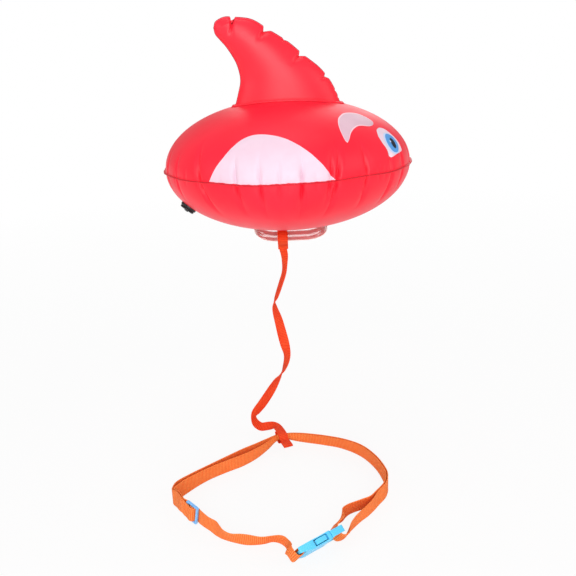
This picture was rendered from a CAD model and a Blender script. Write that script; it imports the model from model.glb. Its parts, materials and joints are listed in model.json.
"""Open water swim buoy: the looks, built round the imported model.

Metres, +Z up, +X towards the head. The origin is the lowest point of the float's belly.
"""

import json
import math

import bmesh
import bpy
from mathutils import Matrix, Vector

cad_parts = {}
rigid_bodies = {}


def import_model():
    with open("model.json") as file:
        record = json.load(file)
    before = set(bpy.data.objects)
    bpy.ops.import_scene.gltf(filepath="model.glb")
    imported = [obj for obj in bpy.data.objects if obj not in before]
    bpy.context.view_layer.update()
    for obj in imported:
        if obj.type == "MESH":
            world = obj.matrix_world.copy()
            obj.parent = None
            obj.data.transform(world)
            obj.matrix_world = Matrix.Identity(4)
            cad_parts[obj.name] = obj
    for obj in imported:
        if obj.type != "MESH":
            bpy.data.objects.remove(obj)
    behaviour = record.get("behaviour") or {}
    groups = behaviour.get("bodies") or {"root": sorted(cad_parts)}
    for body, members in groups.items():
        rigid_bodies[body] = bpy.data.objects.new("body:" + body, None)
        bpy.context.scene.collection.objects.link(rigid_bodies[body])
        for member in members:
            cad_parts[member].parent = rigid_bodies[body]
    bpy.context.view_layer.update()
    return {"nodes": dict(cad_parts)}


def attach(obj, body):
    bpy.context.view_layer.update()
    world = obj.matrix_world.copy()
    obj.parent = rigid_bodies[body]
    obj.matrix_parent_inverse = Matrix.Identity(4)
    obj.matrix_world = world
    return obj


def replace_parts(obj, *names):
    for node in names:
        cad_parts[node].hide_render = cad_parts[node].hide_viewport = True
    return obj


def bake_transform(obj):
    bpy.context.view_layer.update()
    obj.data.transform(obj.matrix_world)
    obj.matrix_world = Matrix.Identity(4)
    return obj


for leftover in list(bpy.data.objects):
    bpy.data.objects.remove(leftover, do_unlink=True)
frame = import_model()

UP = Vector((0.0, 0.0, 1.0))

# Camera
SENSOR = 36.0
LENS = 45.5
CAMERA_AT = Vector((-0.0070, -1.0548, 0.2605))
CAMERA_PITCH = 18.88
CAMERA_ROLL = 2.57

# Float
HULL_LENGTH = 0.350
HULL_WIDTH = 0.324
HULL_DEPTH = 0.181
PLAN_POWER = 2.09
DEPTH_POWER = 1.97
VINYL = 0.0006
LIP = VINYL + 0.00015
SEAM_Z = HULL_DEPTH / 2
SEAM_RIM = 0.003

# Webbing
SURFACE = -0.375
WEBBING = 0.0014
TETHER_WIDTH = 0.015
BELT_WIDTH = 0.025
BELT_RISE = BELT_WIDTH / 2 + 0.0006
PLY_SPACING = 0.0025
RIB_PITCH = 0.0026
YARN_PITCH = 0.0011
STATION_STEP = 0.003
LOOP_STEP = 0.0015
STRAP_SQUARE = 0.5
GUTTER = 0.00352
OUTER_LENGTH = 0.672
INNER_LENGTH = 0.66
FRONT_LENGTH = 0.24
# The body that the end of a ply follows, where the ply still stays and where it follows
BENDS = {
    "front": ("socket", (-0.0977, -0.2458, -0.3625), (-0.0262, -0.2602, -0.3625)),
    "inner": ("slider", (-0.1868, -0.1480, -0.3620), (-0.1946, -0.1584, -0.3620)),
}

SLIDER_CENTRE = Vector((-0.1543, -0.1957, SURFACE + 0.0187))
SLIDER_RUN = Vector((0.755, -0.605, -0.250))
SLIDER_ACROSS = Vector((0.230, -0.250, 0.940))
BUCKLE_END = Vector((-0.0122, -0.2922, SURFACE + 0.0168))
BUCKLE_BEARING = 37.0
BUCKLE_LEAN = 51.5


def add_object(name, data):
    obj = bpy.data.objects.new(name, data)
    bpy.context.scene.collection.objects.link(obj)
    return obj


def camera():
    pitch, roll = math.radians(CAMERA_PITCH), math.radians(CAMERA_ROLL)
    forward = Vector((0, math.cos(pitch), -math.sin(pitch)))
    above = Vector((0, math.sin(pitch), math.cos(pitch)))
    right = Vector((1, 0, 0))
    x = math.cos(roll) * right - math.sin(roll) * above
    y = math.sin(roll) * right + math.cos(roll) * above
    data = bpy.data.cameras.new("camera")
    data.lens = LENS
    data.sensor_width = SENSOR
    data.clip_start = 0.05
    data.clip_end = 50.0
    obj = add_object("camera", data)
    turn = Matrix((x, y, -forward)).transposed().to_4x4()
    obj.matrix_world = Matrix.Translation(CAMERA_AT) @ turn
    bpy.context.scene.camera = obj


camera()


# Materials

def linear(*colour):
    """A colour given in the 0 to 255 numbers of a display, as light."""
    light = []
    for value in colour:
        value = value / 255
        light.append(value / 12.92 if value <= 0.04045 else ((value + 0.055) / 1.055) ** 2.4)
    return (*light, 1.0)


class Nodes:
    """Short names for building one material's nodes."""

    def __init__(self, name):
        self.material = bpy.data.materials.new(name)
        self.material.use_nodes = True
        self.tree = self.material.node_tree
        self.shader = self.tree.nodes["Principled BSDF"]

    def add(self, kind, **values):
        node = self.tree.nodes.new("ShaderNode" + kind)
        for key, value in values.items():
            setattr(node, key, value)
        return node

    def join(self, source, target):
        self.tree.links.new(source, target)

    def put(self, value, socket):
        """Gives a socket a plain value or another node's output."""
        if isinstance(value, bpy.types.NodeSocket):
            self.join(value, socket)
        else:
            socket.default_value = value

    def feed(self, node, **inputs):
        for key, value in inputs.items():
            self.put(value, node.inputs[key.replace("_", " ")])
        return node

    def set(self, **inputs):
        self.feed(self.shader, **inputs)

    def place(self):
        return self.add("TexCoord").outputs["Object"]

    def noise(self, scale, detail, rough, at):
        node = self.add("TexNoise")
        self.feed(node, Scale=scale, Detail=detail, Roughness=rough, Vector=at)
        return node.outputs["Fac"]

    def span(self, source, low, high, out_low=0.0, out_high=1.0):
        node = self.feed(self.add("MapRange"), Value=source, From_Min=low, From_Max=high)
        self.feed(node, To_Min=out_low, To_Max=out_high)
        return node.outputs["Result"]

    def math(self, operation, *values):
        node = self.add("Math", operation=operation)
        for value, socket in zip(values, node.inputs):
            self.put(value, socket)
        return node.outputs[0]

    def mix(self, share, a, b):
        node = self.add("Mix", data_type="RGBA")
        for value, index in ((share, 0), (a, 6), (b, 7)):
            self.put(value, node.inputs[index])
        return node.outputs[2]

    def bump(self, height, depth, strength, **under):
        node = self.add("Bump")
        self.feed(node, Strength=strength, Distance=depth, Height=height, **under)
        return node.outputs["Normal"]


def vinyl(name, colour, deep, roughness=0.42, gloss=0.30):
    """Blown-up film: even colour, a little deeper in patches, with a fine pressed grain."""
    n = Nodes(name)
    at = n.place()
    patches = n.span(n.noise(9.0, 3.0, 0.5, at), 0.35, 0.65)
    colours = n.mix(patches, linear(*colour), linear(*deep))
    rough = n.span(n.noise(26.0, 4.0, 0.6, at), 0.3, 0.7, roughness - 0.03, roughness + 0.05)
    slack = n.bump(n.noise(38.0, 2.0, 0.4, at), 0.0006, 0.30)
    grain = n.bump(n.noise(1500.0, 2.0, 0.5, at), 0.00008, 0.25, Normal=slack)
    n.set(Base_Color=colours, Roughness=rough, Normal=grain)
    n.set(Coat_Weight=0.06, Coat_Roughness=0.30, IOR=1.5, Specular_IOR_Level=gloss)
    return n.material


def webbing_look(name, colour, groove, glint):
    """Ribbed weave. The strap's own length and width in metres come from its UV map."""
    n = Nodes(name)
    uv = n.add("UVMap", uv_map="strap")
    split = n.add("SeparateXYZ")
    n.join(uv.outputs["UV"], split.inputs[0])
    along, across = split.outputs["X"], split.outputs["Y"]
    turn = n.math("MULTIPLY", along, 2 * math.pi / RIB_PITCH)
    wander = n.math("MULTIPLY", n.noise(160.0, 2.0, 0.5, uv.outputs["UV"]), 1.2)
    rib = n.span(n.math("SINE", n.math("ADD", turn, wander)), -1, 1)
    yarn_turn = n.math("MULTIPLY", across, 2 * math.pi / YARN_PITCH)
    yarn = n.span(n.math("SINE", yarn_turn), -1, 1)
    weave = n.math("ADD", n.math("MULTIPLY", rib, 0.8), n.math("MULTIPLY", yarn, 0.2))
    fibre = n.noise(2600.0, 3.0, 0.6, uv.outputs["UV"])
    worn = n.span(n.noise(70.0, 3.0, 0.6, uv.outputs["UV"]), 0.3, 0.7)
    lit = n.mix(worn, linear(*colour), linear(*glint))
    shade = n.span(weave, 0.0, 0.55)
    height = n.math("ADD", weave, n.math("MULTIPLY", fibre, 0.2))
    n.set(Base_Color=n.mix(shade, linear(*groove), lit), Normal=n.bump(height, 0.0004, 0.8))
    n.set(Roughness=0.70, Specular_IOR_Level=0.15)
    return n.material


def moulded(name, colour, roughness=0.34):
    """Moulded plastic with faint flow marks and fine grain."""
    n = Nodes(name)
    at = n.place()
    flow = n.span(n.noise(60.0, 2.0, 0.5, at), 0.3, 0.7)
    full = linear(*colour)
    deep = tuple(c * 0.92 for c in full[:3]) + (1.0,)
    rough = n.span(n.noise(240.0, 3.0, 0.6, at), 0.3, 0.7, roughness - 0.05, roughness + 0.07)
    grain = n.bump(n.noise(1400.0, 2.0, 0.5, at), 0.00006, 0.5)
    n.set(Base_Color=n.mix(flow, deep, full), Roughness=rough, Normal=grain)
    n.set(Specular_IOR_Level=0.35)
    return n.material


def clear_film(name, colour, alpha):
    """Clear film, hazy in patches and fuller where it is seen from its edge."""
    n = Nodes(name)
    at = n.place()
    haze = n.span(n.noise(120.0, 3.0, 0.6, at), 0.35, 0.65)
    facing = n.feed(n.add("LayerWeight"), Blend=0.35)
    edge = n.span(facing.outputs["Facing"], 0.0, 1.0, 0.0, 0.14)
    solid = n.math("ADD", n.math("MULTIPLY", haze, 0.10), n.math("ADD", edge, alpha))
    slack = n.bump(n.noise(90.0, 3.0, 0.5, at), 0.0008, 0.4)
    n.set(Base_Color=linear(*colour), Alpha=n.math("MINIMUM", solid, 1.0), Normal=slack)
    n.set(Roughness=0.14, Coat_Weight=0.3, Coat_Roughness=0.08)
    return n.material


def print_ink(name, colour, deep):
    n = Nodes(name)
    at = n.place()
    patchy = n.span(n.noise(45.0, 3.0, 0.5, at), 0.35, 0.65)
    colours = n.mix(patchy, linear(*colour), linear(*deep))
    n.set(Base_Color=colours, Normal=n.bump(n.noise(1500.0, 2.0, 0.5, at), 0.00006, 0.25))
    n.set(Roughness=0.45, Coat_Weight=0.05, Coat_Roughness=0.30, Specular_IOR_Level=0.25)
    return n.material


RED_VINYL = vinyl("red_vinyl_film", (255, 32, 58), (252, 26, 51))
FIN_VINYL = vinyl("fin_vinyl_film", (254, 34, 58), (252, 29, 52), 0.38, 0.40)
RIM_VINYL = vinyl("weld_rim_vinyl", (226, 26, 46), (212, 22, 42))
FIN_RIM_VINYL = vinyl("fin_rim_vinyl", (192, 22, 52), (176, 20, 48))
CLEAR = clear_film("clear_band_vinyl", (255, 238, 230), 0.84)
BELT = webbing_look("belt_weave", (255, 142, 70), (240, 74, 18), (255, 152, 82))
TETHER = webbing_look("tether_weave", (240, 72, 34), (216, 40, 14), (250, 90, 44))
BLUE = moulded("blue_moulding", (98, 212, 255))
PALE_BLUE = moulded("pale_blue_moulding", (128, 194, 252))
BLACK = moulded("black_moulding", (30, 27, 30), 0.30)
RUBBER = moulded("seal_rubber_look", (224, 224, 220), 0.55)
WHITE_INK = print_ink("pale_print", (236, 207, 222), (232, 201, 217))
BROW_INK = print_ink("brow_print", (228, 190, 205), (223, 184, 199))
BROW_EDGE = print_ink("brow_edge_print", (255, 214, 226), (252, 208, 220))
EYE_WHITE = print_ink("eye_white_print", (240, 214, 228), (234, 206, 220))
EYE_RING = print_ink("eye_ring_print", (208, 222, 250), (200, 214, 246))
EYE_BLUE = print_ink("eye_blue_print", (92, 164, 232), (82, 152, 222))
EYE_DARK = print_ink("eye_dark_print", (14, 20, 46), (12, 16, 38))


def dress(obj, look, body):
    """Gives a piece its material, its slot and, unless it bends over a joint, its body."""
    obj.data.materials.clear()
    obj.data.materials.append(look)
    if body:
        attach(obj, body)
    return obj


def mesh_piece(name, verts, faces, sharp=None):
    mesh = bpy.data.meshes.new(name)
    mesh.from_pydata([tuple(v) for v in verts], [], faces)
    mesh.validate()
    mesh.update()
    obj = add_object(name, mesh)
    mesh.shade_smooth()
    if sharp is not None:
        mesh.set_sharp_from_angle(angle=math.radians(sharp))
    return obj


def grid_faces(rows, columns, turned_over=False, first=0):
    """Faces of a net of points that lie row after row, columns + 1 of them in each."""
    faces = []
    for k in range(rows):
        for i in range(columns):
            a = first + k * (columns + 1) + i
            b = a + columns + 1
            faces.append((a, a + 1, b + 1, b) if turned_over else (a, b, b + 1, a + 1))
    return faces


def tube_faces(rows, size):
    """Faces between rings of size points each, with one ring more than there are rows."""
    faces = []
    for k in range(rows):
        here, there = k * size, (k + 1) * size
        for i in range(size):
            j = (i + 1) % size
            faces.append((here + i, here + j, there + j, there + i))
    return faces


def face_outward(obj, weld=0.0):
    """Turns every face outward, once points that lie closer than weld are joined."""
    bm = bmesh.new()
    bm.from_mesh(obj.data)
    if weld:
        bmesh.ops.remove_doubles(bm, verts=bm.verts[:], dist=weld)
    bmesh.ops.recalc_face_normals(bm, faces=bm.faces[:])
    bm.to_mesh(obj.data)
    bm.free()


# Webbing

def frame_at(origin, run, across):
    """A frame with X along run and Y close to across."""
    x = Vector(run).normalized()
    z = x.cross(Vector(across)).normalized()
    y = z.cross(x)
    turn = Matrix((x, y, z)).transposed().to_4x4()
    return Matrix.Translation(origin) @ turn


SLIDER_FRAME = frame_at(SLIDER_CENTRE, SLIDER_RUN, SLIDER_ACROSS)
BUCKLE_TURN = math.radians(BUCKLE_BEARING)
BUCKLE_OUT = Vector((math.cos(BUCKLE_TURN), math.sin(BUCKLE_TURN), 0))
BUCKLE_FLAT = Vector((BUCKLE_OUT.y, -BUCKLE_OUT.x, 0))
BUCKLE_ACROSS = (
    BUCKLE_FLAT * math.cos(math.radians(BUCKLE_LEAN)) + UP * math.sin(math.radians(BUCKLE_LEAN))
)
BUCKLE_FRAME = frame_at(BUCKLE_END, BUCKLE_OUT, BUCKLE_ACROSS)


def station(point, across=UP, gather=1.0):
    """A strap's middle, the way its width runs there and how far it is gathered."""
    return [*point, *Vector(across).normalized(), gather]


def run_of(kind, *spots):
    """A stretch of stations of one kind, each from its own values."""
    return [kind(*spot) for spot in spots]


HITCH_X = -0.0115
HITCH_HALF = [
    (-0.0026, -0.0372), (-0.0030, -0.0335), (-0.0100, -0.0285), (-0.0195, -0.0235),
    (-0.0226, -0.0185), (-0.0205, -0.0125), (-0.0120, -0.0072),
]
HITCH_LOOP = HITCH_HALF + [(0.0, -0.0050)] + [(-y, z) for y, z in reversed(HITCH_HALF)]


def hanging(x, z, degrees, gather=1.0, y=0.0):
    """A tether station whose width lies level, turned about Z."""
    angle = math.radians(degrees)
    return station((x, y, z), (math.cos(angle), math.sin(angle), 0.0), gather)


KNOT = Vector((-0.0280, 0.0030, -0.3605))
KNOT_OUT = Vector((0.36, -0.93, -0.05)).normalized()
KNOT_SIDE = Vector((0.93, 0.36, 0.0)).normalized()
KNOT_UP = KNOT_SIDE.cross(KNOT_OUT).normalized() * -1

TETHER_ROUTE = run_of(
    hanging,
    (HITCH_X, -0.0345, 0, 0.84), (HITCH_X, -0.0395, -8, 0.78), (-0.0105, -0.0470, -34, 0.84),
    (-0.0103, -0.0560, -54, 0.94), (-0.0118, -0.0743, -68), (-0.0180, -0.0932, -70),
    (-0.0250, -0.1124, -76), (-0.0293, -0.1220, -95), (-0.0290, -0.1315, -115),
    (-0.0240, -0.1520, -143), (-0.0200, -0.1724, -160), (-0.0160, -0.1930, -190),
    (-0.0134, -0.2137, -230), (-0.0191, -0.2371, -258, 1.0, 0.0060),
) + run_of(
    station,
    ((-0.0315, 0.0140, -0.2616), (0.45, 0.55, -0.35)),
    ((-0.0442, 0.0220, -0.2867), (0.80, 0.20, -0.45)),
    ((-0.0589, 0.0300, -0.3123), (0.85, 0.05, -0.50)),
    ((-0.0700, 0.0345, -0.3290), (0.80, 0.35, -0.48)),
    ((-0.0745, 0.0355, -0.3400), (0.50, 0.86, -0.10)),
    ((-0.0715, 0.0350, -0.3500), (0.55, 0.78, 0.28)),
    ((-0.0630, 0.0335, -0.3565), (0.42, 0.72, 0.52)),
    ((-0.0535, 0.0335, -0.3562), (0.30, 0.66, 0.68)),
    ((-0.0450, 0.0315, -0.3545), (0.42, 0.66, 0.60)),
    ((-0.0392, 0.0270, -0.3530), (0.66, 0.64, 0.36)),
    (KNOT + KNOT_OUT * -0.0190 + KNOT_UP * 0.0081, (0.88, 0.46, 0.0)),
    (KNOT + KNOT_OUT * -0.0154 + KNOT_UP * 0.0084, KNOT_SIDE),
)

KNOT_LOOP = [
    (-0.0148, 0.0083), (-0.0090, 0.0086), (-0.0030, 0.0084), (0.0042, 0.0070),
    (0.0087, 0.0038), (0.0112, 0.0017), (0.0145, 0.0012), (0.0270, 0.0012),
    (0.0290, 0.0010), (0.0298, 0.0), (0.0290, -0.0010), (0.0270, -0.0012),
    (0.0145, -0.0012), (0.0108, -0.0022), (0.0078, -0.0052), (0.0025, -0.0078),
    (-0.0040, -0.0074), (-0.0084, -0.0038), (-0.0110, 0.0012), (-0.0128, 0.0046),
]


def lying(x, y, across=UP, rise=BELT_RISE, gather=1.0):
    """A belt station at a height above the surface that the belt lies on."""
    return station((x, y, SURFACE + rise), across, gather)


def in_slider(run, rise):
    """A station at the slider: run down the strap, rise off the slider's middle."""
    point = SLIDER_FRAME @ Vector((run, 0, rise))
    return station(point, SLIDER_FRAME.to_3x3() @ Vector((0, 1, 0)))


def in_buckle(run, rise, turn=0.0, along_bar=0.0, gather=1.0):
    """A station at the buckle: run from the socket's end, rise off the buckle's middle."""
    point = BUCKLE_FRAME @ Vector((run, along_bar, rise))
    across = BUCKLE_FRAME.to_3x3() @ Vector((0, 1, 0))
    return station(point, across * math.cos(turn) + UP * math.sin(turn), gather)


def beside(stations, offset):
    """The same stretch moved sideways, for one ply of a doubled strap."""
    moved = []
    for k, spot in enumerate(stations):
        ahead = Vector(stations[min(len(stations) - 1, k + 1)][:3])
        behind = Vector(stations[max(0, k - 1)][:3])
        normal = (ahead - behind).cross(Vector(spot[3:6])).normalized()
        point = Vector(spot[:3]) + normal * offset
        moved.append([*point, *spot[3:]])
    return moved


# The two plies lie against each other here, from the slider to the left corner
LEFT_PAIR = [in_slider(-0.0180, 0.0)] + run_of(
    lying,
    (-0.1722, -0.1768, (0.18, -0.16, 0.97), 0.0218),
    (-0.1768, -0.1660, (0.14, -0.06, 0.98), 0.0192),
    (-0.1818, -0.1565, (0.08, 0.0, 0.99), 0.0158), (-0.1858, -0.1500, (0.02, 0.0, 1.0), 0.0138),
    (-0.1870, -0.1450, UP, 0.0131),
)
# and here, from the tether's loop round to the right front
RIGHT_PAIR = run_of(
    lying,
    (-0.0370, -0.0010, UP, 0.0143, 0.42), (-0.0280, 0.0030, UP, 0.0145, 0.40),
    (-0.0170, 0.0032, UP, 0.0143, 0.44), (-0.0040, 0.0014, (0.0, -0.22, 0.97), 0.0135, 0.64),
    (0.0110, -0.0014, (0.0, -0.38, 0.92), BELT_RISE, 0.85), (0.0400, -0.0102, (0.0, -0.46, 0.89)),
    (0.0695, -0.0234, (-0.02, -0.44, 0.90)), (0.0972, -0.0470, (-0.08, -0.28, 0.96)),
    (0.1160, -0.0816, (-0.08, -0.12, 0.99)), (0.1254, -0.1200), (0.1251, -0.1385),
    (0.1192, -0.1560), (0.1072, -0.1730),
)
OUTER_START = run_of(
    in_slider,
    (-0.0002, 0.0046), (-0.0022, 0.0043), (-0.0045, 0.0033), (-0.0078, 0.0028), (-0.0112, 0.0027),
    (-0.0142, 0.0019),
)
OUTER_BACK = run_of(
    lying,
    (-0.1845, -0.1300), (-0.1705, -0.1125, (0.05, -0.12, 0.99)),
    (-0.1480, -0.0915, (0.08, -0.18, 0.98)), (-0.1190, -0.0665, (0.08, -0.20, 0.97)),
    (-0.0900, -0.0425, (0.08, -0.20, 0.97)),
    (-0.0690, -0.0265, (0.05, -0.20, 0.97), BELT_RISE, 0.88),
    (-0.0520, -0.0118, (0.0, -0.12, 0.98), 0.0135, 0.62),
)
OUTER_END = run_of(
    lying,
    (0.0992, -0.1885, (-0.05, -0.25, 0.96), 0.0127),
    (0.0890, -0.2015, (-0.10, -0.36, 0.93), 0.0123),
    (0.0795, -0.2115, (-0.12, -0.44, 0.89), 0.0120),
    (0.0690, -0.2250, (-0.06, -0.46, 0.88), 0.0121),
    (0.0606, -0.2385, (0.08, -0.47, 0.87), 0.0121),
) + run_of(
    in_buckle,
    (0.0774, 0.0097, 0.04, 0.0012), (0.0726, 0.0094, 0.0, 0.0002), (0.0690, 0.0078),
    (0.0670, 0.0051), (0.0667, 0.0026), (0.0667, 0.0003),
)
INNER_START = run_of(
    in_slider,
    (-0.0010, -0.0026), (0.0004, -0.0026), (0.0018, -0.0022), (0.0027, -0.0009), (0.0027, 0.0009),
    (0.0017, 0.0022), (0.0, 0.0025), (-0.0017, 0.0022), (-0.0027, 0.0009), (-0.0034, -0.0010),
    (-0.0048, -0.0024), (-0.0076, -0.0027), (-0.0112, -0.0026), (-0.0142, -0.0019),
)
INNER_BACK = run_of(
    lying,
    (-0.1800, -0.1355), (-0.1712, -0.1238), (-0.1560, -0.1078, (0.05, -0.12, 0.99)),
    (-0.1380, -0.0918, (0.08, -0.18, 0.98)), (-0.1140, -0.0752, (0.08, -0.20, 0.97)),
    (-0.0900, -0.0600, (0.08, -0.20, 0.97)),
    (-0.0690, -0.0425, (0.05, -0.20, 0.97), BELT_RISE, 0.88),
    (-0.0505, -0.0215, (0.0, -0.12, 0.98), 0.0135, 0.62),
)
INNER_END = run_of(
    lying,
    (0.0960, -0.1808, (-0.03, -0.30, 0.95)), (0.0833, -0.1864, (-0.03, -0.34, 0.94), 0.0126),
    (0.0726, -0.1912, (-0.05, -0.37, 0.93), 0.0125),
    (0.0632, -0.1970, (-0.10, -0.38, 0.92), 0.0128),
    (0.0568, -0.2045, (-0.15, -0.44, 0.88), 0.0135),
    (0.0528, -0.2150, (-0.05, -0.50, 0.85), 0.0160),
) + run_of(
    in_buckle,
    (0.0850, -0.0122, 0.0, -0.0048), (0.0790, -0.0107, 0.0, -0.0016), (0.0741, -0.0091),
    (0.0699, -0.0073), (0.0674, -0.0050), (0.0667, -0.0026), (0.0667, -0.0003),
)
FRONT_PLY = run_of(
    in_slider,
    (0.0002, 0.0046), (0.0022, 0.0042), (0.0044, 0.0026), (0.0054, -0.0006), (0.0073, -0.0027),
    (0.0108, -0.0027), (0.0140, -0.0020),
) + run_of(
    lying,
    (-0.1322, -0.2128, (0.28, -0.36, 0.89), 0.0134),
    (-0.1221, -0.2220, (0.37, -0.40, 0.84), 0.0129),
    (-0.1150, -0.2316, (0.29, -0.47, 0.83), 0.0129),
    (-0.1082, -0.2393, (0.19, -0.51, 0.84), 0.0127),
    (-0.0977, -0.2458, (0.13, -0.51, 0.85), 0.0122),
    (-0.0843, -0.2498, (0.11, -0.39, 0.92), 0.0124),
    (-0.0743, -0.2523, (0.05, -0.37, 0.93), 0.0125),
    (-0.0600, -0.2540, (0.02, -0.49, 0.87), 0.0118),
    (-0.0524, -0.2535, (0.0, -0.54, 0.84), 0.0116),
    (-0.0422, -0.2510, (0.05, -0.57, 0.82), 0.0114),
    (-0.0330, -0.2533, (0.05, -0.50, 0.84), 0.0118),
    (-0.0258, -0.2600, (0.05, -0.42, 0.90), 0.0124, 0.95),
    (-0.0222, -0.2700, (0.15, -0.46, 0.86), 0.0138, 0.86),
)
SOCKET_WRAP = run_of(
    in_buckle,
    (-0.0030, -0.0112, 0.0, -0.0048, 0.80), (-0.0044, -0.0064, 0.0, -0.0020, 0.80),
    (-0.0048, -0.0016, 0.0, 0.0, 0.86), (-0.0040, 0.0018, 0.0, 0.0, 0.93), (-0.0022, 0.0038),
    (0.0004, 0.0043), (0.0032, 0.0037), (0.0055, 0.0024), (0.0064, 0.0), (0.0057, -0.0024),
    (0.0042, -0.0040), (0.0030, -0.0056),
)


def heading_at(stations, k):
    """The change of a station per metre of strap, between its neighbours."""
    low, high = max(0, k - 1), min(len(stations) - 1, k + 1)
    lengths = [
        (Vector(stations[i + 1][:3]) - Vector(stations[i][:3])).length for i in range(low, high)
    ]
    return [(b - a) / sum(lengths) for a, b in zip(stations[low], stations[high])]


def smooth_route(stations, step=STATION_STEP):
    """Adds stations on a smooth curve wherever two of them are further apart than step."""
    route = []
    for k in range(len(stations) - 1):
        here, there = stations[k], stations[k + 1]
        length = (Vector(there[:3]) - Vector(here[:3])).length
        start, end = heading_at(stations, k), heading_at(stations, k + 1)
        pieces = max(1, math.ceil(length / step))
        for i in range(pieces):
            f = i / pieces
            near, far = (1 + 2 * f) * (1 - f) ** 2, f * f * (3 - 2 * f)
            leave, arrive = f * (1 - f) ** 2 * length, f * f * (f - 1) * length
            route.append([
                here[j] * near + there[j] * far + start[j] * leave + end[j] * arrive
                for j in range(7)
            ])
    return route + [list(stations[-1])]


# The strap's cross-section: share of the half width, share of the half thickness
SECTION = [
    (-1.0, 0.35), (-0.975, 0.85), (-0.93, 1.06), (-0.86, 0.92), (-0.5, 0.98), (0.0, 1.0),
    (0.5, 0.98), (0.86, 0.92), (0.93, 1.06), (0.975, 0.85), (1.0, 0.35),
]


def strap(name, stations, width, look, step=STATION_STEP, body="float"):
    """Woven strap along the stations, with a UV map that runs along and across it in metres.
    Where it is gathered its width bends into a shallow gutter."""
    route = smooth_route(stations, step)
    centres = [Vector(s[:3]) for s in route]
    rows = len(route)
    ring = [(v, h) for v, h in SECTION] + [(v, -h) for v, h in reversed(SECTION)]
    size = len(ring)
    verts, coords, run = [], [], 0.0
    for k, spot in enumerate(route):
        heading = (centres[min(rows - 1, k + 1)] - centres[max(0, k - 1)]).normalized()
        across = Vector(spot[3:6])
        across = (across - heading * across.dot(heading) * STRAP_SQUARE).normalized()
        normal = heading.cross(across).normalized()
        gather = spot[6]
        if k:
            run += (centres[k] - centres[k - 1]).length
        for v, h in ring:
            gutter = GUTTER * (1 - gather) * (1 - 2 * abs(v))
            out = normal * (h * WEBBING / 2 + gutter)
            verts.append(centres[k] + across * (v * width / 2 * gather) + out)
            coords.append((run, v * width / 2))
    faces = tube_faces(rows - 1, size)
    faces.append(tuple(reversed(range(size))))
    faces.append(tuple((rows - 1) * size + i for i in range(size)))
    obj = mesh_piece(name, verts, faces, sharp=60)
    face_outward(obj)
    layer = obj.data.uv_layers.new(name="strap")
    for loop in obj.data.loops:
        layer.data[loop.index].uv = coords[loop.vertex_index]
    dress(obj, look, body)
    return obj, [tuple(c) for c in centres]


def tether():
    hitch_route = [station((HITCH_X, y, z), (1, 0, 0)) for y, z in HITCH_LOOP]
    hitch, _ = strap("tether_hitch_webbing", hitch_route, TETHER_WIDTH, TETHER)
    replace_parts(hitch, "tether_hitch")
    free, path = strap(
        "tether_strap_webbing", TETHER_ROUTE, TETHER_WIDTH, TETHER
    )
    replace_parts(free, "tether_strap")
    loop_route = [station(KNOT + KNOT_OUT * a + KNOT_UP * b, KNOT_SIDE) for a, b in KNOT_LOOP]
    loop, _ = strap(
        "tether_loop_webbing", loop_route, TETHER_WIDTH, TETHER, LOOP_STEP
    )
    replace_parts(loop, "tether_belt_loop")


def belt():
    apart = PLY_SPACING / 2
    outer = OUTER_START + beside(LEFT_PAIR, -apart) + OUTER_BACK
    outer += beside(RIGHT_PAIR, -apart) + OUTER_END
    inner = INNER_START + beside(LEFT_PAIR, apart) + INNER_BACK
    inner += beside(RIGHT_PAIR, apart) + INNER_END
    plies = [
        ("outer", outer, OUTER_LENGTH, "float", []),
        ("inner", inner, INNER_LENGTH, None, []),
        ("front", FRONT_PLY + SOCKET_WRAP, FRONT_LENGTH, None,
         ["belt_slider", "buckle_socket", "buckle_plug", "buckle_upper_arm", "buckle_lower_arm"]),
    ]
    for name, stations, length, body, on_it in plies:
        piece, path = strap(
            f"belt_{name}_webbing", stations, BELT_WIDTH, BELT, body=body
        )
        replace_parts(piece, f"belt_{name}_ply")
        if name in BENDS:
            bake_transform(piece)


tether()
belt()


# Float

def dome(r):
    return max(0.0, 1 - r**PLAN_POWER) ** (1 / DEPTH_POWER)


def hull_top(x, y):
    return SEAM_Z + HULL_DEPTH / 2 * dome(math.hypot(2 * x / HULL_LENGTH, 2 * y / HULL_WIDTH))


def hull_belly(x, y):
    return 2 * SEAM_Z - hull_top(x, y)


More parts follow.
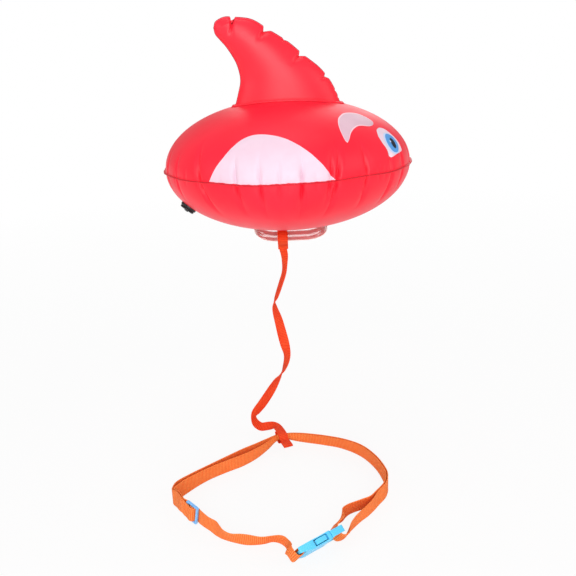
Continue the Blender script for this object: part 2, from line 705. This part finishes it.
# Creases across the seam: bearing, depth, reach up, reach down, lean in degrees at the top
CREASES = [
    (-162.0, 0.0043, 0.034, 0.040, -1.0), (-148.9, 0.0038, 0.034, 0.034, -1.5),
    (-131.0, 0.0096, 0.050, 0.050, -5.0), (-112.4, 0.0075, 0.042, 0.046, -2.0),
    (-101.9, 0.0070, 0.038, 0.050, -1.0), (-94.0, 0.0035, 0.032, 0.046, 0.5),
    (-84.6, 0.0081, 0.044, 0.052, 0.8), (-72.4, 0.0067, 0.044, 0.040, 2.8),
    (-69.4, 0.0081, 0.048, 0.056, 3.4), (-54.6, 0.0084, 0.046, 0.046, 1.2),
    (-38.0, 0.0087, 0.030, 0.050, 0.8), (-27.2, 0.0049, 0.028, 0.036, 1.0),
    (-13.0, 0.0061, 0.036, 0.036, 1.0), (2.0, 0.0046, 0.032, 0.034, 0.0),
    (17.0, 0.0070, 0.042, 0.040, -1.5), (31.0, 0.0052, 0.036, 0.036, -1.0),
    (44.0, 0.0078, 0.046, 0.046, -2.0), (59.0, 0.0061, 0.040, 0.044, 1.0),
    (72.0, 0.0084, 0.048, 0.048, -2.0), (85.0, 0.0055, 0.040, 0.042, 0.0),
    (98.0, 0.0078, 0.046, 0.046, 1.5), (112.0, 0.0064, 0.040, 0.044, 2.0),
    (126.0, 0.0084, 0.050, 0.046, 2.5), (140.0, 0.0055, 0.038, 0.038, 1.5),
    (154.0, 0.0070, 0.042, 0.042, 1.0), (168.0, 0.0052, 0.036, 0.036, 0.5),
    (181.5, 0.0061, 0.038, 0.036, 0.0),
]
# Short wrinkles that the weld leaves between the creases, in the same terms
WRINKLES = [
    (
        -177.0 + 6.1 * k + 1.9 * math.sin(3.7 * k),
        0.0008 + 0.0011 * abs(math.sin(1.9 * k)),
        0.008 + 0.009 * abs(math.sin(2.3 * k)),
        0.007 + 0.009 * abs(math.cos(2.9 * k)),
        0.6 * math.sin(5 * k),
    )
    for k in range(59)
]
CREASE_HALF_WIDTH = 0.0011
CREASE_SPREAD = 0.045
CREASE_REACH = 14.0
CREASE_FADE = 1.2
LEAN_HEIGHT = 0.045
# A crease's section: each form's share of its depth, and its place and width in half widths
GROOVE, GROOVE_ROUNDING = 0.62, 0.00000015
VALLEY, VALLEY_WIDTH = 0.40, 3.4
SHOULDER, SHOULDER_AT, SHOULDER_WIDTH = 0.12, 2.8, 1.6
# The weld holds the film, so the creases are shallower beside it
SEAM_HOLD = 0.007
SEAM_SHARE = 0.45
SEAM_TUG = 0.18
SEAM_WANDER = 0.03
# Slow waves that keep the blown-up film from being perfectly round and its seam perfectly level
PLUMP = 0.0006
SWAY, FINE_SWAY = 0.0007, 0.0005


def turned_by(a, b):
    """The signed angle in degrees from b to a."""
    return (a - b + 180.0) % 360.0 - 180.0


def draw_in(bearing, z):
    """How far the film is drawn in at a bearing, z above or below the seam."""
    pull = 0.0
    held = SEAM_SHARE + (1 - SEAM_SHARE) * min(1.0, abs(z) / SEAM_HOLD)
    for at, depth, up, down, lean in CREASES + WRINKLES:
        share = abs(z) / (up if z >= 0 else down)
        if share >= 1:
            continue
        off = turned_by(bearing, at + lean * z / LEAN_HEIGHT)
        if abs(off) > CREASE_REACH:
            continue
        off = abs(math.radians(off)) * HULL_LENGTH / 2
        half = CREASE_HALF_WIDTH + CREASE_SPREAD * abs(z)
        form = GROOVE * math.exp(-((off**2 + GROOVE_ROUNDING) ** 0.5) / half)
        form += VALLEY * math.exp(-((off / (half * VALLEY_WIDTH)) ** 2))
        form -= SHOULDER * math.exp(-(((off - SHOULDER_AT * half) / (SHOULDER_WIDTH * half)) ** 2))
        pull += depth * (1 - share) ** CREASE_FADE * held * form
    return pull


def film(bearing, latitude, lift=0.0, reach=0.0):
    """A point of the blown-up hull. Latitude runs from -90 under the belly to 90 on top."""
    b = math.radians(bearing)
    lat = math.radians(latitude)
    side = 1 if latitude >= 0 else -1
    r = math.cos(lat)
    rise = (HULL_DEPTH / 2 - LIP) * dome(r)
    pull = draw_in(bearing, side * rise)
    plump = PLUMP * math.sin(3 * b + 1.0) * math.cos(lat) ** 4
    x = (HULL_LENGTH / 2 * r + reach - pull + plump) * math.cos(b)
    y = (HULL_WIDTH / 2 * r + reach - pull + plump) * math.sin(b)
    sway = SWAY * math.sin(5 * b + 0.6) + FINE_SWAY * math.sin(11 * b)
    near = max(0.0, 1 - rise / SEAM_WANDER) ** 2
    z = SEAM_Z + side * (LIP + rise) + (sway - SEAM_TUG * pull) * near
    point = Vector((x, y, z))
    if lift:
        out = Vector((x / HULL_LENGTH**2, y / HULL_WIDTH**2, (z - SEAM_Z) / HULL_DEPTH**2))
        point += out.normalized() * lift
    return point


BEARING_STEP = 0.6
LEAST_STEP = 0.12
CREASE_STEPS = (0.0, 0.15, 0.3, 0.45, 0.6, 0.8, 1.0, 1.3)
LEAN_SHARE = 0.2


def bearings(low=-180.0, high=180.0):
    """Bearings close together at the creases and further apart between them."""
    count = round((high - low) / BEARING_STEP)
    marks = [low + (high - low) * k / count for k in range(count + 1)]
    for at, _, _, _, lean in CREASES:
        for off in CREASE_STEPS:
            for sign in (-1, 1):
                mark = turned_by(at + sign * off + lean * LEAN_SHARE, 0.0)
                if low < mark < high:
                    marks.append(mark)
    marks.sort()
    kept = [marks[0]]
    for mark in marks[1:]:
        if mark - kept[-1] > LEAST_STEP:
            kept.append(mark)
    if kept[-1] > high - LEAST_STEP:
        kept[-1] = high
    return kept


HULL_ROWS = 64
ROW_SPREAD = 1.25
SEAM_EDGE = 0.001
RIM_LOW = 0.00003 - LIP
# The weld rim's section from its outer edge in: reach past the film and height off the seam
SEAM_SECTION = [
    (SEAM_RIM, RIM_LOW), (SEAM_RIM, RIM_LOW + 0.0003), (SEAM_RIM * 0.5, RIM_LOW + 0.0004),
    (0.0009, RIM_LOW + 0.0005), (0.0002, -0.0001),
]


def hull_skin(name, side):
    """One dished panel, from its share of the weld rim to the pole."""
    around = bearings()[:-1]
    count = len(around)
    verts = []
    for reach, drop in SEAM_SECTION:
        verts += [film(b, SEAM_EDGE * side, reach=reach) + UP * side * drop for b in around]
    for k in range(1, HULL_ROWS):
        latitude = 90.0 * side * (k / HULL_ROWS) ** ROW_SPREAD
        verts += [film(b, latitude) for b in around]
    rows = len(SEAM_SECTION) + HULL_ROWS - 2
    faces = tube_faces(rows, count)
    pole, top = len(verts), rows * count
    verts.append(film(0.0, 90.0 * side))
    faces += [(top + i, top + (i + 1) % count, pole) for i in range(count)]
    if side < 0:
        faces = [tuple(reversed(f)) for f in faces]
    obj = mesh_piece(name, verts, faces)
    dress(obj, RED_VINYL, "float")
    obj.data.materials.append(RIM_VINYL)
    for polygon in obj.data.polygons:
        if max(polygon.vertices) < len(SEAM_SECTION) * count:
            polygon.material_index = 1
    return obj


def along(points, t):
    """A point at share t along a smooth curve through the points."""
    last = len(points) - 1
    k = min(int(t * last), last - 1)
    f = t * last - k
    p = [points[max(0, min(last, k + i))] for i in (-1, 0, 1, 2)]
    out = []
    for j in range(len(points[0])):
        a, b, c, d = (q[j] for q in p)
        if k == 0:
            a = 2 * b - c
        if k == last - 1:
            d = 2 * c - b
        square, cube = 2 * a - 5 * b + 4 * c - d, 3 * b - a - 3 * c + d
        out.append((2 * b + (c - a) * f + square * f**2 + cube * f**3) / 2)
    return out


# Printed marks, each a thin skin on the film

PRINT_LIFT = 0.00022
FLANK_ARC = [
    (-125.2, 0.0), (-122.5, 11.2), (-119.5, 20.0), (-116.9, 27.5), (-113.4, 34.0),
    (-109.0, 37.6), (-103.8, 38.6), (-96.7, 37.4), (-90.0, 34.0), (-84.2, 28.3),
    (-79.7, 21.7), (-75.5, 13.2), (-72.5, 5.3), (-70.5, 0.0),
]
FLANK_ROWS = 44
FLANK_FOOT = 0.30
FLANK_LEAST = 0.15


def arc_height(bearing):
    """The flank patch's height, in degrees above the seam."""
    last = len(FLANK_ARC) - 1
    for k in range(last):
        near, far = FLANK_ARC[k][0], FLANK_ARC[k + 1][0]
        if near <= bearing <= far:
            return max(0.0, along(FLANK_ARC, (k + (bearing - near) / (far - near)) / last)[1])
    return 0.0


def flank_patch(name, mirror):
    """The plain pale half moon that stands on the seam."""
    across = bearings(FLANK_ARC[0][0], FLANK_ARC[-1][0])
    verts = []
    for b in across:
        foot = FLANK_FOOT + 0.16 * math.sin(1.1 * b) + 0.10 * math.sin(2.7 * b)
        top = max(foot + FLANK_LEAST, arc_height(b))
        for k in range(FLANK_ROWS + 1):
            latitude = foot + (top - foot) * (k / FLANK_ROWS) ** 1.1
            verts.append(film(mirror * b, latitude, PRINT_LIFT))
    faces = grid_faces(len(across) - 1, FLANK_ROWS, mirror < 0)
    return dress(mesh_piece(name, verts, faces), WHITE_INK, "float")


def oval(name, centre, half, tilt, look, lift, mirror):
    """A plain oval mark. Its centre and half sizes are in degrees on the hull."""
    rings, count = 12, 56
    turn = math.radians(tilt)
    verts = [film(mirror * centre[0], centre[1], lift)]
    for k in range(1, rings + 1):
        for i in range(count):
            angle = 2 * math.pi * i / count
            u, v = half[0] * math.cos(angle) * k / rings, half[1] * math.sin(angle) * k / rings
            b = centre[0] + u * math.cos(turn) - v * math.sin(turn)
            lat = centre[1] + u * math.sin(turn) + v * math.cos(turn)
            verts.append(film(mirror * b, lat, lift))
    faces = []
    for i in range(count):
        j = (i + 1) % count
        faces.append((0, 1 + i, 1 + j))
        for k in range(rings - 1):
            a, b = 1 + k * count, 1 + (k + 1) * count
            faces.append((a + i, b + i, b + j, a + j))
    if mirror < 0:
        faces = [tuple(reversed(f)) for f in faces]
    return dress(mesh_piece(name, verts, faces), look, "float")


# The printed brow and eye: the two long edges of each, as bearing and latitude on the hull
BROW_TOP = [
    (-60.5, 27.3), (-61.1, 29.6), (-60.6, 35.7), (-58.8, 42.0), (-55.5, 47.0), (-51.1, 50.3),
    (-43.3, 53.1), (-36.1, 52.8), (-30.2, 50.7), (-28.1, 46.9), (-27.8, 43.0), (-29.0, 40.3),
    (-31.2, 38.8),
]
BROW_LOW = [
    (-60.5, 27.3), (-58.3, 30.1), (-56.8, 32.4), (-54.9, 34.7), (-52.8, 36.5), (-50.7, 37.8),
    (-47.8, 39.0), (-45.3, 39.5), (-43.1, 39.3), (-41.1, 38.8), (-37.7, 37.7), (-34.1, 37.8),
    (-31.2, 38.8),
]
EYE_TOP = [
    (-32.7, 34.4), (-29.8, 34.7), (-26.3, 32.6), (-24.7, 27.9), (-23.5, 22.1), (-23.8, 16.9),
    (-25.4, 12.6), (-31.5, 11.9), (-36.9, 10.4),
]
EYE_LOW = [
    (-32.7, 34.4), (-35.5, 33.1), (-38.3, 28.8), (-39.0, 25.3), (-39.1, 22.2), (-38.6, 19.0),
    (-38.3, 16.2), (-38.2, 12.7), (-36.9, 10.4),
]


def leaf(name, top, low, border, look, lift, mirror):
    """A printed shape between two edges, drawn in from both by a border's share."""
    steps, rows = 72, 14
    verts = []
    for i in range(steps + 1):
        t = border + (1 - 2 * border) * i / steps
        a, b = along(top, t), along(low, t)
        for k in range(rows + 1):
            f = 2 * border + (1 - 4 * border) * k / rows
            bearing, latitude = (p * f + q * (1 - f) for p, q in zip(a, b))
            verts.append(film(mirror * bearing, latitude, lift))
    faces = grid_faces(steps, rows, mirror < 0)
    return dress(mesh_piece(name, verts, faces), look, "float")


BROW_BORDER = 0.035
EYE_TILT = -8.0


def marks():
    for side, mirror in (("starboard", 1), ("port", -1)):
        flank_patch(f"flank_patch_{side}", mirror)
        for name, top, low, border, look, layer in (
            ("brow_edge", BROW_TOP, BROW_LOW, 0.0, BROW_EDGE, 1.0),
            ("brow_patch", BROW_TOP, BROW_LOW, BROW_BORDER, BROW_INK, 1.6),
            ("eye_white", EYE_TOP, EYE_LOW, 0.0, EYE_WHITE, 1.0),
        ):
            leaf(f"{name}_{side}", top, low, border, look, layer * PRINT_LIFT, mirror)
        for name, centre, half, look, layer in (
            ("ring", (-31.0, 20.9), (5.9, 9.0), EYE_RING, 1.6),
            ("blue", (-30.6, 20.9), (4.9, 7.9), EYE_BLUE, 2.2),
            ("dark", (-30.2, 20.6), (1.9, 4.4), EYE_DARK, 2.8),
            ("glint", (-32.0, 22.4), (0.6, 0.9), EYE_RING, 3.4),
        ):
            oval(f"eye_{name}_{side}", centre, half, EYE_TILT, look, layer * PRINT_LIFT, mirror)


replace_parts(hull_skin("hull_upper_film", 1), "hull_upper_panel")
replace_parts(hull_skin("hull_lower_film", -1), "hull_lower_panel")
marks()


# Fin

FIN_LOW = 0.170
FIN_HEIGHT = 0.1232
FIN_HALF_THICKNESS = 0.021
FIN_TIP_HALF_THICKNESS = 0.0045
FIN_RIM = 0.0022
FIN_FOOT = 0.0090
FIN_SEAT = 0.0006
FOOT_BEAD = 0.0016
FOOT_BEAD_AT, FOOT_BEAD_WIDTH = 0.76, 0.17
FOOT_ROWS = 10
# The foot's flange runs out at these bearings, from its back end to its front end
FOOT_BACK, FOOT_FRONT = 140, 40
NOTCH_FADE = 3.0
NOTCH_SHOULDER = 1.25
# The crease behind a notch: its own part and the part that grows with the notch's depth
CREASE_LENGTH, CREASE_GROWTH = 0.007, 2.2
CREASE_DEPTH, CREASE_DEEPENING = 0.0006, 0.30
CREASE_HALF, CREASE_WIDENING = 0.0010, 0.16
RIM_CORNER = 0.04
FIN_COLUMNS = 60
FIN_STEP = 0.006
EDGE_STEP = 0.01
TIP_ROUNDING = 14
SWELL_POWER = 0.62
THINNING_POWER = 1.6
TIP_CLOSING = 0.06

# The outline, as X and a share of the fin's height
TRAILING_EDGE = [
    (-0.0695, 0.0), (-0.0645, 0.150), (-0.0607, 0.284), (-0.0618, 0.406), (-0.0666, 0.528),
    (-0.0765, 0.666), (-0.0850, 0.752), (-0.0909, 0.813), (-0.0928, 0.882),
]
LEADING_EDGE = [
    (0.0780, 0.0), (0.0735, 0.118), (0.0644, 0.269), (0.0500, 0.418), (0.0295, 0.556),
    (0.0085, 0.705), (-0.0173, 0.843), (-0.0400, 0.958), (-0.0659, 0.994),
]
TIP_EDGE = [
    (-0.0928, 0.882), (-0.0905, 0.940), (-0.0850, 0.973), (-0.0765, 0.996), (-0.0659, 0.994),
]
# Notches of the leading edge: share up it, depth, and how far each runs down and up the edge
FIN_NOTCHES = [
    (0.075, 0.0008, 0.0030, 0.0020), (0.152, 0.0010, 0.0040, 0.0020),
    (0.297, 0.0036, 0.0060, 0.0030), (0.521, 0.0056, 0.0070, 0.0034),
    (0.652, 0.0015, 0.0050, 0.0030), (0.771, 0.0064, 0.0080, 0.0036),
    (1.0, 0.0092, 0.0036, 0.0032),
]


def outline_at(points, t):
    """A point at share t along one edge of the fin's outline."""
    x, share = along(points, t)
    return Vector((x, FIN_LOW + FIN_HEIGHT * share))


def outward(points, t, hand):
    """The direction straight out of the outline. hand is 1 where it runs clockwise."""
    ahead = outline_at(points, min(1.0, t + EDGE_STEP))
    run = ahead - outline_at(points, max(0.0, t - EDGE_STEP))
    return Vector((-run.y, run.x)).normalized() * hand


def inset_point(points, t, hand, inset):
    """A point of the outline, moved in from the fin's edge."""
    return outline_at(points, t) - outward(points, t, hand) * inset


def notched(spot):
    """The film's point after the weld has drawn it in at the notches."""
    moved = spot.copy()
    for share, depth, down, up in FIN_NOTCHES:
        out = outward(LEADING_EDGE, share, -1)
        gap = spot - outline_at(LEADING_EDGE, share)
        level = gap.dot(Vector((-out.y, out.x)))
        near = max(0.0, 1 - abs(level) / ((up if level > 0 else down) * NOTCH_SHOULDER))
        behind_it = min(1.0, max(0.0, 1 + gap.dot(out) / (NOTCH_FADE * depth)))
        moved -= out * depth * near * near * (2 - near) * behind_it
    return moved


def notch_crease(spot):
    """How far the film is drawn in behind the notches, at a point of the fin's middle plane."""
    pull = 0.0
    for share, depth, _, _ in FIN_NOTCHES:
        out = outward(LEADING_EDGE, share, -1)
        gap = outline_at(LEADING_EDGE, share) - out * depth - spot
        run, length = gap.dot(out), CREASE_LENGTH + CREASE_GROWTH * depth
        if not 0 < run < length:
            continue
        level = gap.dot(Vector((-out.y, out.x)))
        half = CREASE_HALF + CREASE_WIDENING * run
        deepest = (CREASE_DEPTH + CREASE_DEEPENING * depth) * (1 - run / length) ** 1.4
        pull += deepest * math.exp(-((level / half) ** 2))
    return pull


def fin_spot(inner, t, inset):
    """A point of the fin's middle plane. inner runs from back to front, t from foot to tip."""
    back = inset_point(TRAILING_EDGE, t, 1, inset)
    front = inset_point(LEADING_EDGE, t, -1, inset)
    back_end = inset_point(TRAILING_EDGE, 1.0, 1, inset)
    front_end = inset_point(LEADING_EDGE, 1.0, -1, inset)
    tip = inset_point(TIP_EDGE, inner, 1, inset)
    rounding = (tip - back_end.lerp(front_end, inner)) * t**TIP_ROUNDING
    return notched(back.lerp(front, inner) + rounding)


def fin_at(inner, t, side, inset):
    """A point of the fin's film, off its middle plane by how far it is blown up there."""
    spot = fin_spot(inner, t, inset)
    swell = max(0.0, 4 * inner * (1 - inner)) ** SWELL_POWER
    high = t**THINNING_POWER
    thick = FIN_HALF_THICKNESS * (1 - high) + FIN_TIP_HALF_THICKNESS * high
    thick *= min(1.0, (1 - t) / TIP_CLOSING) ** 0.5
    blown = max(0.0, thick * swell - notch_crease(spot)) if swell and thick else 0.0
    return Vector((spot.x, side * (LIP + blown), spot.y))


def fin_heights():
    """Shares up the fin at which its film has points, with one at each notch's two shoulders."""
    length = sum(
        (outline_at(LEADING_EDGE, (k + 1) / 20) - outline_at(LEADING_EDGE, k / 20)).length
        for k in range(20)
    )
    marks = {0.0, 1.0}
    for share, _, down, up in FIN_NOTCHES:
        marks |= {share - down / length, share, min(1.0, share + up / length)}
    marks = sorted(marks)
    heights = [0.0]
    for low, high in zip(marks, marks[1:]):
        steps = math.ceil((high - low) / FIN_STEP)
        heights += [low + (high - low) * (i + 1) / steps for i in range(steps)]
    return heights


def fin_foot(ground, side):
    """Rows of the flange that is welded down round the fin's foot, from its outer edge in."""
    last = len(ground) - 1
    rows = []
    for k in range(FOOT_ROWS):
        out = 1 - k / FOOT_ROWS
        bead = FOOT_BEAD * math.exp(-(((out - FOOT_BEAD_AT) / FOOT_BEAD_WIDTH) ** 2))
        rise = (FIN_SEAT + bead) * (1 - out**8)
        row = []
        for i, p in enumerate(ground):
            way = math.radians(FOOT_BACK - (FOOT_BACK - FOOT_FRONT) * i / last)
            reach = FIN_FOOT * out * (0.5 if i in (0, last) else 1.0)
            spot = p + Vector((math.cos(way), side * math.sin(way), 0)) * reach
            spot.z = hull_top(spot.x, spot.y) + VINYL + rise
            row.append(spot)
        rows.append(row)
    return rows


def film_modifier(obj, thickness, offset):
    solid = obj.modifiers.new("film", "SOLIDIFY")
    solid.thickness = thickness
    solid.offset = offset


def fin_skin(name, side):
    """One blown-up half of the fin, with its weld rim and the foot welded to the hull."""
    shares = [0.5 - 0.5 * math.cos(math.pi * k / FIN_COLUMNS) for k in range(FIN_COLUMNS + 1)]
    spread = [(0.0, 0.0), (0.0, FIN_RIM / 2)] + [(share, FIN_RIM) for share in shares]
    spread += [(1.0, FIN_RIM / 2), (1.0, 0.0)]
    last = len(spread) - 1
    ground = [fin_at(inner, 0.0, side, inset) for inner, inset in spread]
    lift = [hull_top(p.x, p.y) + FIN_SEAT + VINYL - p.z for p in ground]
    rows = fin_foot(ground, side)
    for t in fin_heights():
        row = []
        for i, (inner, inset) in enumerate(spread):
            level = t
            if t == 1.0 and i in (0, 1, last - 1, last):
                level = 1 - RIM_CORNER / 3
            spot = fin_at(inner, level, side, inset)
            spot.z += lift[i] * (1 - level) ** 4
            row.append(spot)
        rows.append(row)
    for inset in (FIN_RIM / 2, 0.0):
        row = []
        for i, (inner, own) in enumerate(spread):
            share = RIM_CORNER + (1 - 2 * RIM_CORNER) * inner
            row.append(fin_at(share if own == FIN_RIM else inner, 1.0, side, min(own, inset)))
        rows.append(row)
    verts = [spot for row in rows for spot in row]
    obj = mesh_piece(name, verts, grid_faces(len(rows) - 1, last, side < 0))
    dress(obj, FIN_VINYL, "float")
    obj.data.materials.append(FIN_RIM_VINYL)
    foot_faces = FOOT_ROWS * last
    for index, polygon in enumerate(obj.data.polygons):
        column, row = index % last, index // last
        if index >= foot_faces and (column in (0, last - 1) or row == len(rows) - 2):
            polygon.material_index = 1
    film_modifier(obj, VINYL, -1.0)
    return obj


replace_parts(fin_skin("fin_port_film", 1), "fin_port_panel")
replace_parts(fin_skin("fin_starboard_film", -1), "fin_starboard_panel")


# Clear band

BAND_CENTRE = 0.001
BAND_HALF_SPAN = 0.053
BAND_WIDTH = 0.040
BAND_FILM = 0.0008
BAND_DROP = 0.0190
BAND_PAD = 0.012
BAND_POWER = 3.0
BAND_FLAT = 1.035
BAND_GAP = 0.0003
BAND_COLUMNS, BAND_ROWS, BAND_PAD_COLUMNS = 96, 16, 8
# Its film rucks at its two bends, is crowned between them, and curls up along its far edge
BAND_BEND_AT, BAND_BEND_REACH = 0.049, 0.006
BAND_RUCK = 0.0010
BAND_CROWN = 0.0005
BAND_CURL = 0.0042


def band_point(column, v):
    """A point of the band at a column along it. v runs from -1 to 1 across it."""
    end = min(column, BAND_COLUMNS - column)
    side = -1 if column < BAND_COLUMNS / 2 else 1
    skin = BAND_GAP + BAND_FILM
    y = v * BAND_WIDTH / 2
    if end < BAND_PAD_COLUMNS:
        x = side * (BAND_HALF_SPAN + BAND_PAD * (1 - end / BAND_PAD_COLUMNS))
        return BAND_CENTRE + x, y, hull_belly(BAND_CENTRE + x, y) - skin
    angle = math.pi * (column - BAND_PAD_COLUMNS) / (BAND_COLUMNS - 2 * BAND_PAD_COLUMNS)
    fall = min(1.0, math.sin(angle) ** (2 / BAND_POWER) * BAND_FLAT)
    x = -math.copysign(abs(math.cos(angle)) ** (2 / BAND_POWER), math.cos(angle))
    x *= BAND_HALF_SPAN
    z = (hull_belly(BAND_CENTRE + BAND_HALF_SPAN, y) - skin) * (1 - fall)
    z -= BAND_DROP * fall
    bend = math.exp(-((abs(x) - BAND_BEND_AT) / BAND_BEND_REACH) ** 2)
    z += BAND_RUCK * bend * math.sin(v * 9 + side)
    z += BAND_CROWN * (1 - bend) * math.cos(v * 3.2)
    z += BAND_CURL * max(0.0, v) ** 2
    return BAND_CENTRE + x, y, z


def clear_band():
    verts = [
        band_point(c, k / BAND_ROWS * 2 - 1)
        for c in range(BAND_COLUMNS + 1) for k in range(BAND_ROWS + 1)
    ]
    obj = mesh_piece("clear_band_film", verts, grid_faces(BAND_COLUMNS, BAND_ROWS, True))
    film_modifier(obj, BAND_FILM, 1.0)
    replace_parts(obj, "clear_band")
    return dress(obj, CLEAR, "float")


clear_band()


# Valve

VALVE_BEARING = 200.0
VALVE_LATITUDE = -31.0
SEAT_PROFILE = [
    (0.0050, 0.0016), (0.0071, 0.0016), (0.0071, 0.0028), (0.0074, 0.0031), (0.0102, 0.0031),
    (0.0110, 0.0028), (0.0115, 0.0021), (0.0117, 0.0012), (0.0117, -0.0007),
    (0.0065, -0.0007), (0.0065, -0.0110), (0.0050, -0.0110),
]
CAP_PROFILE = [
    (0.0, 0.0064), (0.0075, 0.0063), (0.0092, 0.0061), (0.0101, 0.0056), (0.0105, 0.0048),
    (0.0105, 0.0038), (0.0102, 0.0033), (0.0096, 0.0032), (0.0030, 0.0030), (0.0029, -0.0015),
    (0.0, -0.0015),
]
GRIP_HALF_LENGTH = 0.0078
GRIP_HALF_WIDTH = 0.0013
GRIP_RISE = 0.0012
GRIP_SUNK = 0.0008
POINT_WELD = 0.00001
VALVE_BODIES = {"valve_seat": "float", "valve_cap": "cap"}


def valve_place():
    """Where the valve stands on the hull, with Z straight out of it."""

    def at(b, lat):
        r = math.cos(lat)
        z = SEAM_Z + math.copysign(HULL_DEPTH / 2 * dome(r), lat)
        return Vector((HULL_LENGTH / 2 * r * math.cos(b), HULL_WIDTH / 2 * r * math.sin(b), z))

    b, lat, step = math.radians(VALVE_BEARING), math.radians(VALVE_LATITUDE), 0.001
    round_it = at(b + step, lat) - at(b - step, lat)
    over_it = at(b, lat + step) - at(b, lat - step)
    out = round_it.cross(over_it).normalized()
    return Matrix.Translation(at(b, lat)) @ out.to_track_quat("Z", "Y").to_matrix().to_4x4()


def turned(profile, closed, steps=72):
    """Verts and faces of a profile, as radius and height, turned round Z."""
    size = len(profile)
    verts, faces = [], []
    for k in range(steps):
        turn = 2 * math.pi * k / steps
        verts += [Vector((r * math.cos(turn), r * math.sin(turn), z)) for r, z in profile]
    for k in range(steps):
        here, there = k * size, (k + 1) % steps * size
        for i in range(size if closed else size - 1):
            j = (i + 1) % size
            faces.append((here + i, here + j, there + j, there + i))
    return verts, faces


def grip_bar(verts, faces):
    """Adds the cap's raised finger bar, rounded over its top and at both its ends."""
    first, steps, ends = len(verts), 8, 12
    floor_z, length = CAP_PROFILE[0][1] - GRIP_SUNK, GRIP_HALF_LENGTH
    for k in range(ends + 1):
        turn = math.pi * k / ends
        x, thin = -length * math.cos(turn), math.sin(turn) ** 0.5 if 0 < k < ends else 0.02
        for i in range(steps + 1):
            bend = math.pi * i / steps
            rise = (GRIP_RISE + GRIP_SUNK) * math.sin(bend) ** 0.6 * min(1.0, 0.4 + thin)
            verts.append(Vector((x, -GRIP_HALF_WIDTH * math.cos(bend) * thin, floor_z + rise)))
    faces += grid_faces(ends, steps, first=first)


def valve():
    place = valve_place()
    for node, profile, closed in (
        ("valve_seat", SEAT_PROFILE, True), ("valve_cap", CAP_PROFILE, False),
    ):
        verts, faces = turned(profile, closed)
        if not closed:
            grip_bar(verts, faces)
        obj = mesh_piece(f"{node}_moulding", [place @ v for v in verts], faces, sharp=50)
        face_outward(obj, POINT_WELD)
        dress(obj, BLACK, VALVE_BODIES[node])
        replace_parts(obj, node)


valve()


# Carried-over nodes

def carry(look, *names):
    for name in names:
        obj = frame["nodes"][name]
        obj.data.materials.clear()
        obj.data.materials.append(look)


carry(BLACK, "valve_stem")
carry(RUBBER, "valve_check_flap")
carry(PALE_BLUE, "belt_slider")
carry(BLUE, "buckle_socket", "buckle_plug", "buckle_upper_arm", "buckle_lower_arm")


# Studio

ROOM_LIGHT = 0.44
FLOOR_SIZE = 40.0
FLOOR_GAP = 0.0006
# The floor's shadows fade into white between these distances and by these shares
FLOOR_FADE = (0.5, 2.2)
FLOOR_GLOW = (0.90, 1.0)


def floor():
    n = Nodes("pale_floor")
    n.set(Base_Color=linear(238, 238, 238), Roughness=0.9, Specular_IOR_Level=0.1)
    glow = n.feed(n.add("Emission"), Color=(1, 1, 1, 1))
    path = n.add("LightPath")
    seen = n.math("MAXIMUM", path.outputs["Is Camera Ray"], path.outputs["Is Glossy Ray"])
    seen = n.math("MAXIMUM", seen, path.outputs["Is Transmission Ray"])
    mixer = n.add("MixShader")
    far = n.add("VectorMath", operation="LENGTH")
    n.join(n.place(), far.inputs[0])
    white = n.span(far.outputs["Value"], *FLOOR_FADE, *FLOOR_GLOW)
    n.join(n.math("MULTIPLY", seen, white), mixer.inputs[0])
    n.join(n.shader.outputs[0], mixer.inputs[1])
    n.join(glow.outputs[0], mixer.inputs[2])
    n.join(mixer.outputs[0], n.tree.nodes["Material Output"].inputs["Surface"])
    marks = (-FLOOR_SIZE / 2, 0.0, FLOOR_SIZE / 2)
    obj = mesh_piece("floor", [(x, y, 0.0) for x in marks for y in marks], grid_faces(2, 2))
    obj.location.z = SURFACE - FLOOR_GAP
    obj.data.materials.append(n.material)


def lamp(name, at, size, power, aim=(0.0, 0.0, 0.0)):
    """A soft square lamp, size across, that faces the point it is aimed at."""
    data = bpy.data.lights.new(name, "AREA")
    data.energy = power
    data.size = size
    obj = add_object(name, data)
    at = Vector(at)
    facing = (Vector(aim) - at).to_track_quat("-Z", "Y")
    obj.matrix_world = Matrix.Translation(at) @ facing.to_matrix().to_4x4()


def studio():
    world = bpy.data.worlds.new("studio")
    bpy.context.scene.world = world
    world.use_nodes = True
    tree = world.node_tree
    back = tree.nodes["Background"]
    back.inputs["Color"].default_value = (1, 1, 1, 1)
    path = tree.nodes.new("ShaderNodeLightPath")
    seen = tree.nodes.new("ShaderNodeMapRange")
    seen.inputs["To Min"].default_value = ROOM_LIGHT
    seen.inputs["To Max"].default_value = 1.0
    tree.links.new(path.outputs["Is Camera Ray"], seen.inputs["Value"])
    tree.links.new(seen.outputs["Result"], back.inputs["Strength"])
    lamp("key", (-0.1, -2.5, 1.2), 1.2, 24.0)
    lamp("fill", (-2.2, -1.5, 1.0), 1.6, 11.0)
    lamp("side", (2.2, -1.2, 1.1), 1.6, 11.0)
    lamp("top", (-0.1, -0.1, 2.2), 1.4, 8.0)
    lamp("low", (0.05, -2.1, -0.05), 1.2, 13.0, aim=(0.0, -0.22, -0.28))
    lamp("back", (0.3, 1.9, 1.0), 1.4, 10.0)


floor()
studio()
bpy.context.scene.view_settings.view_transform = "Standard"
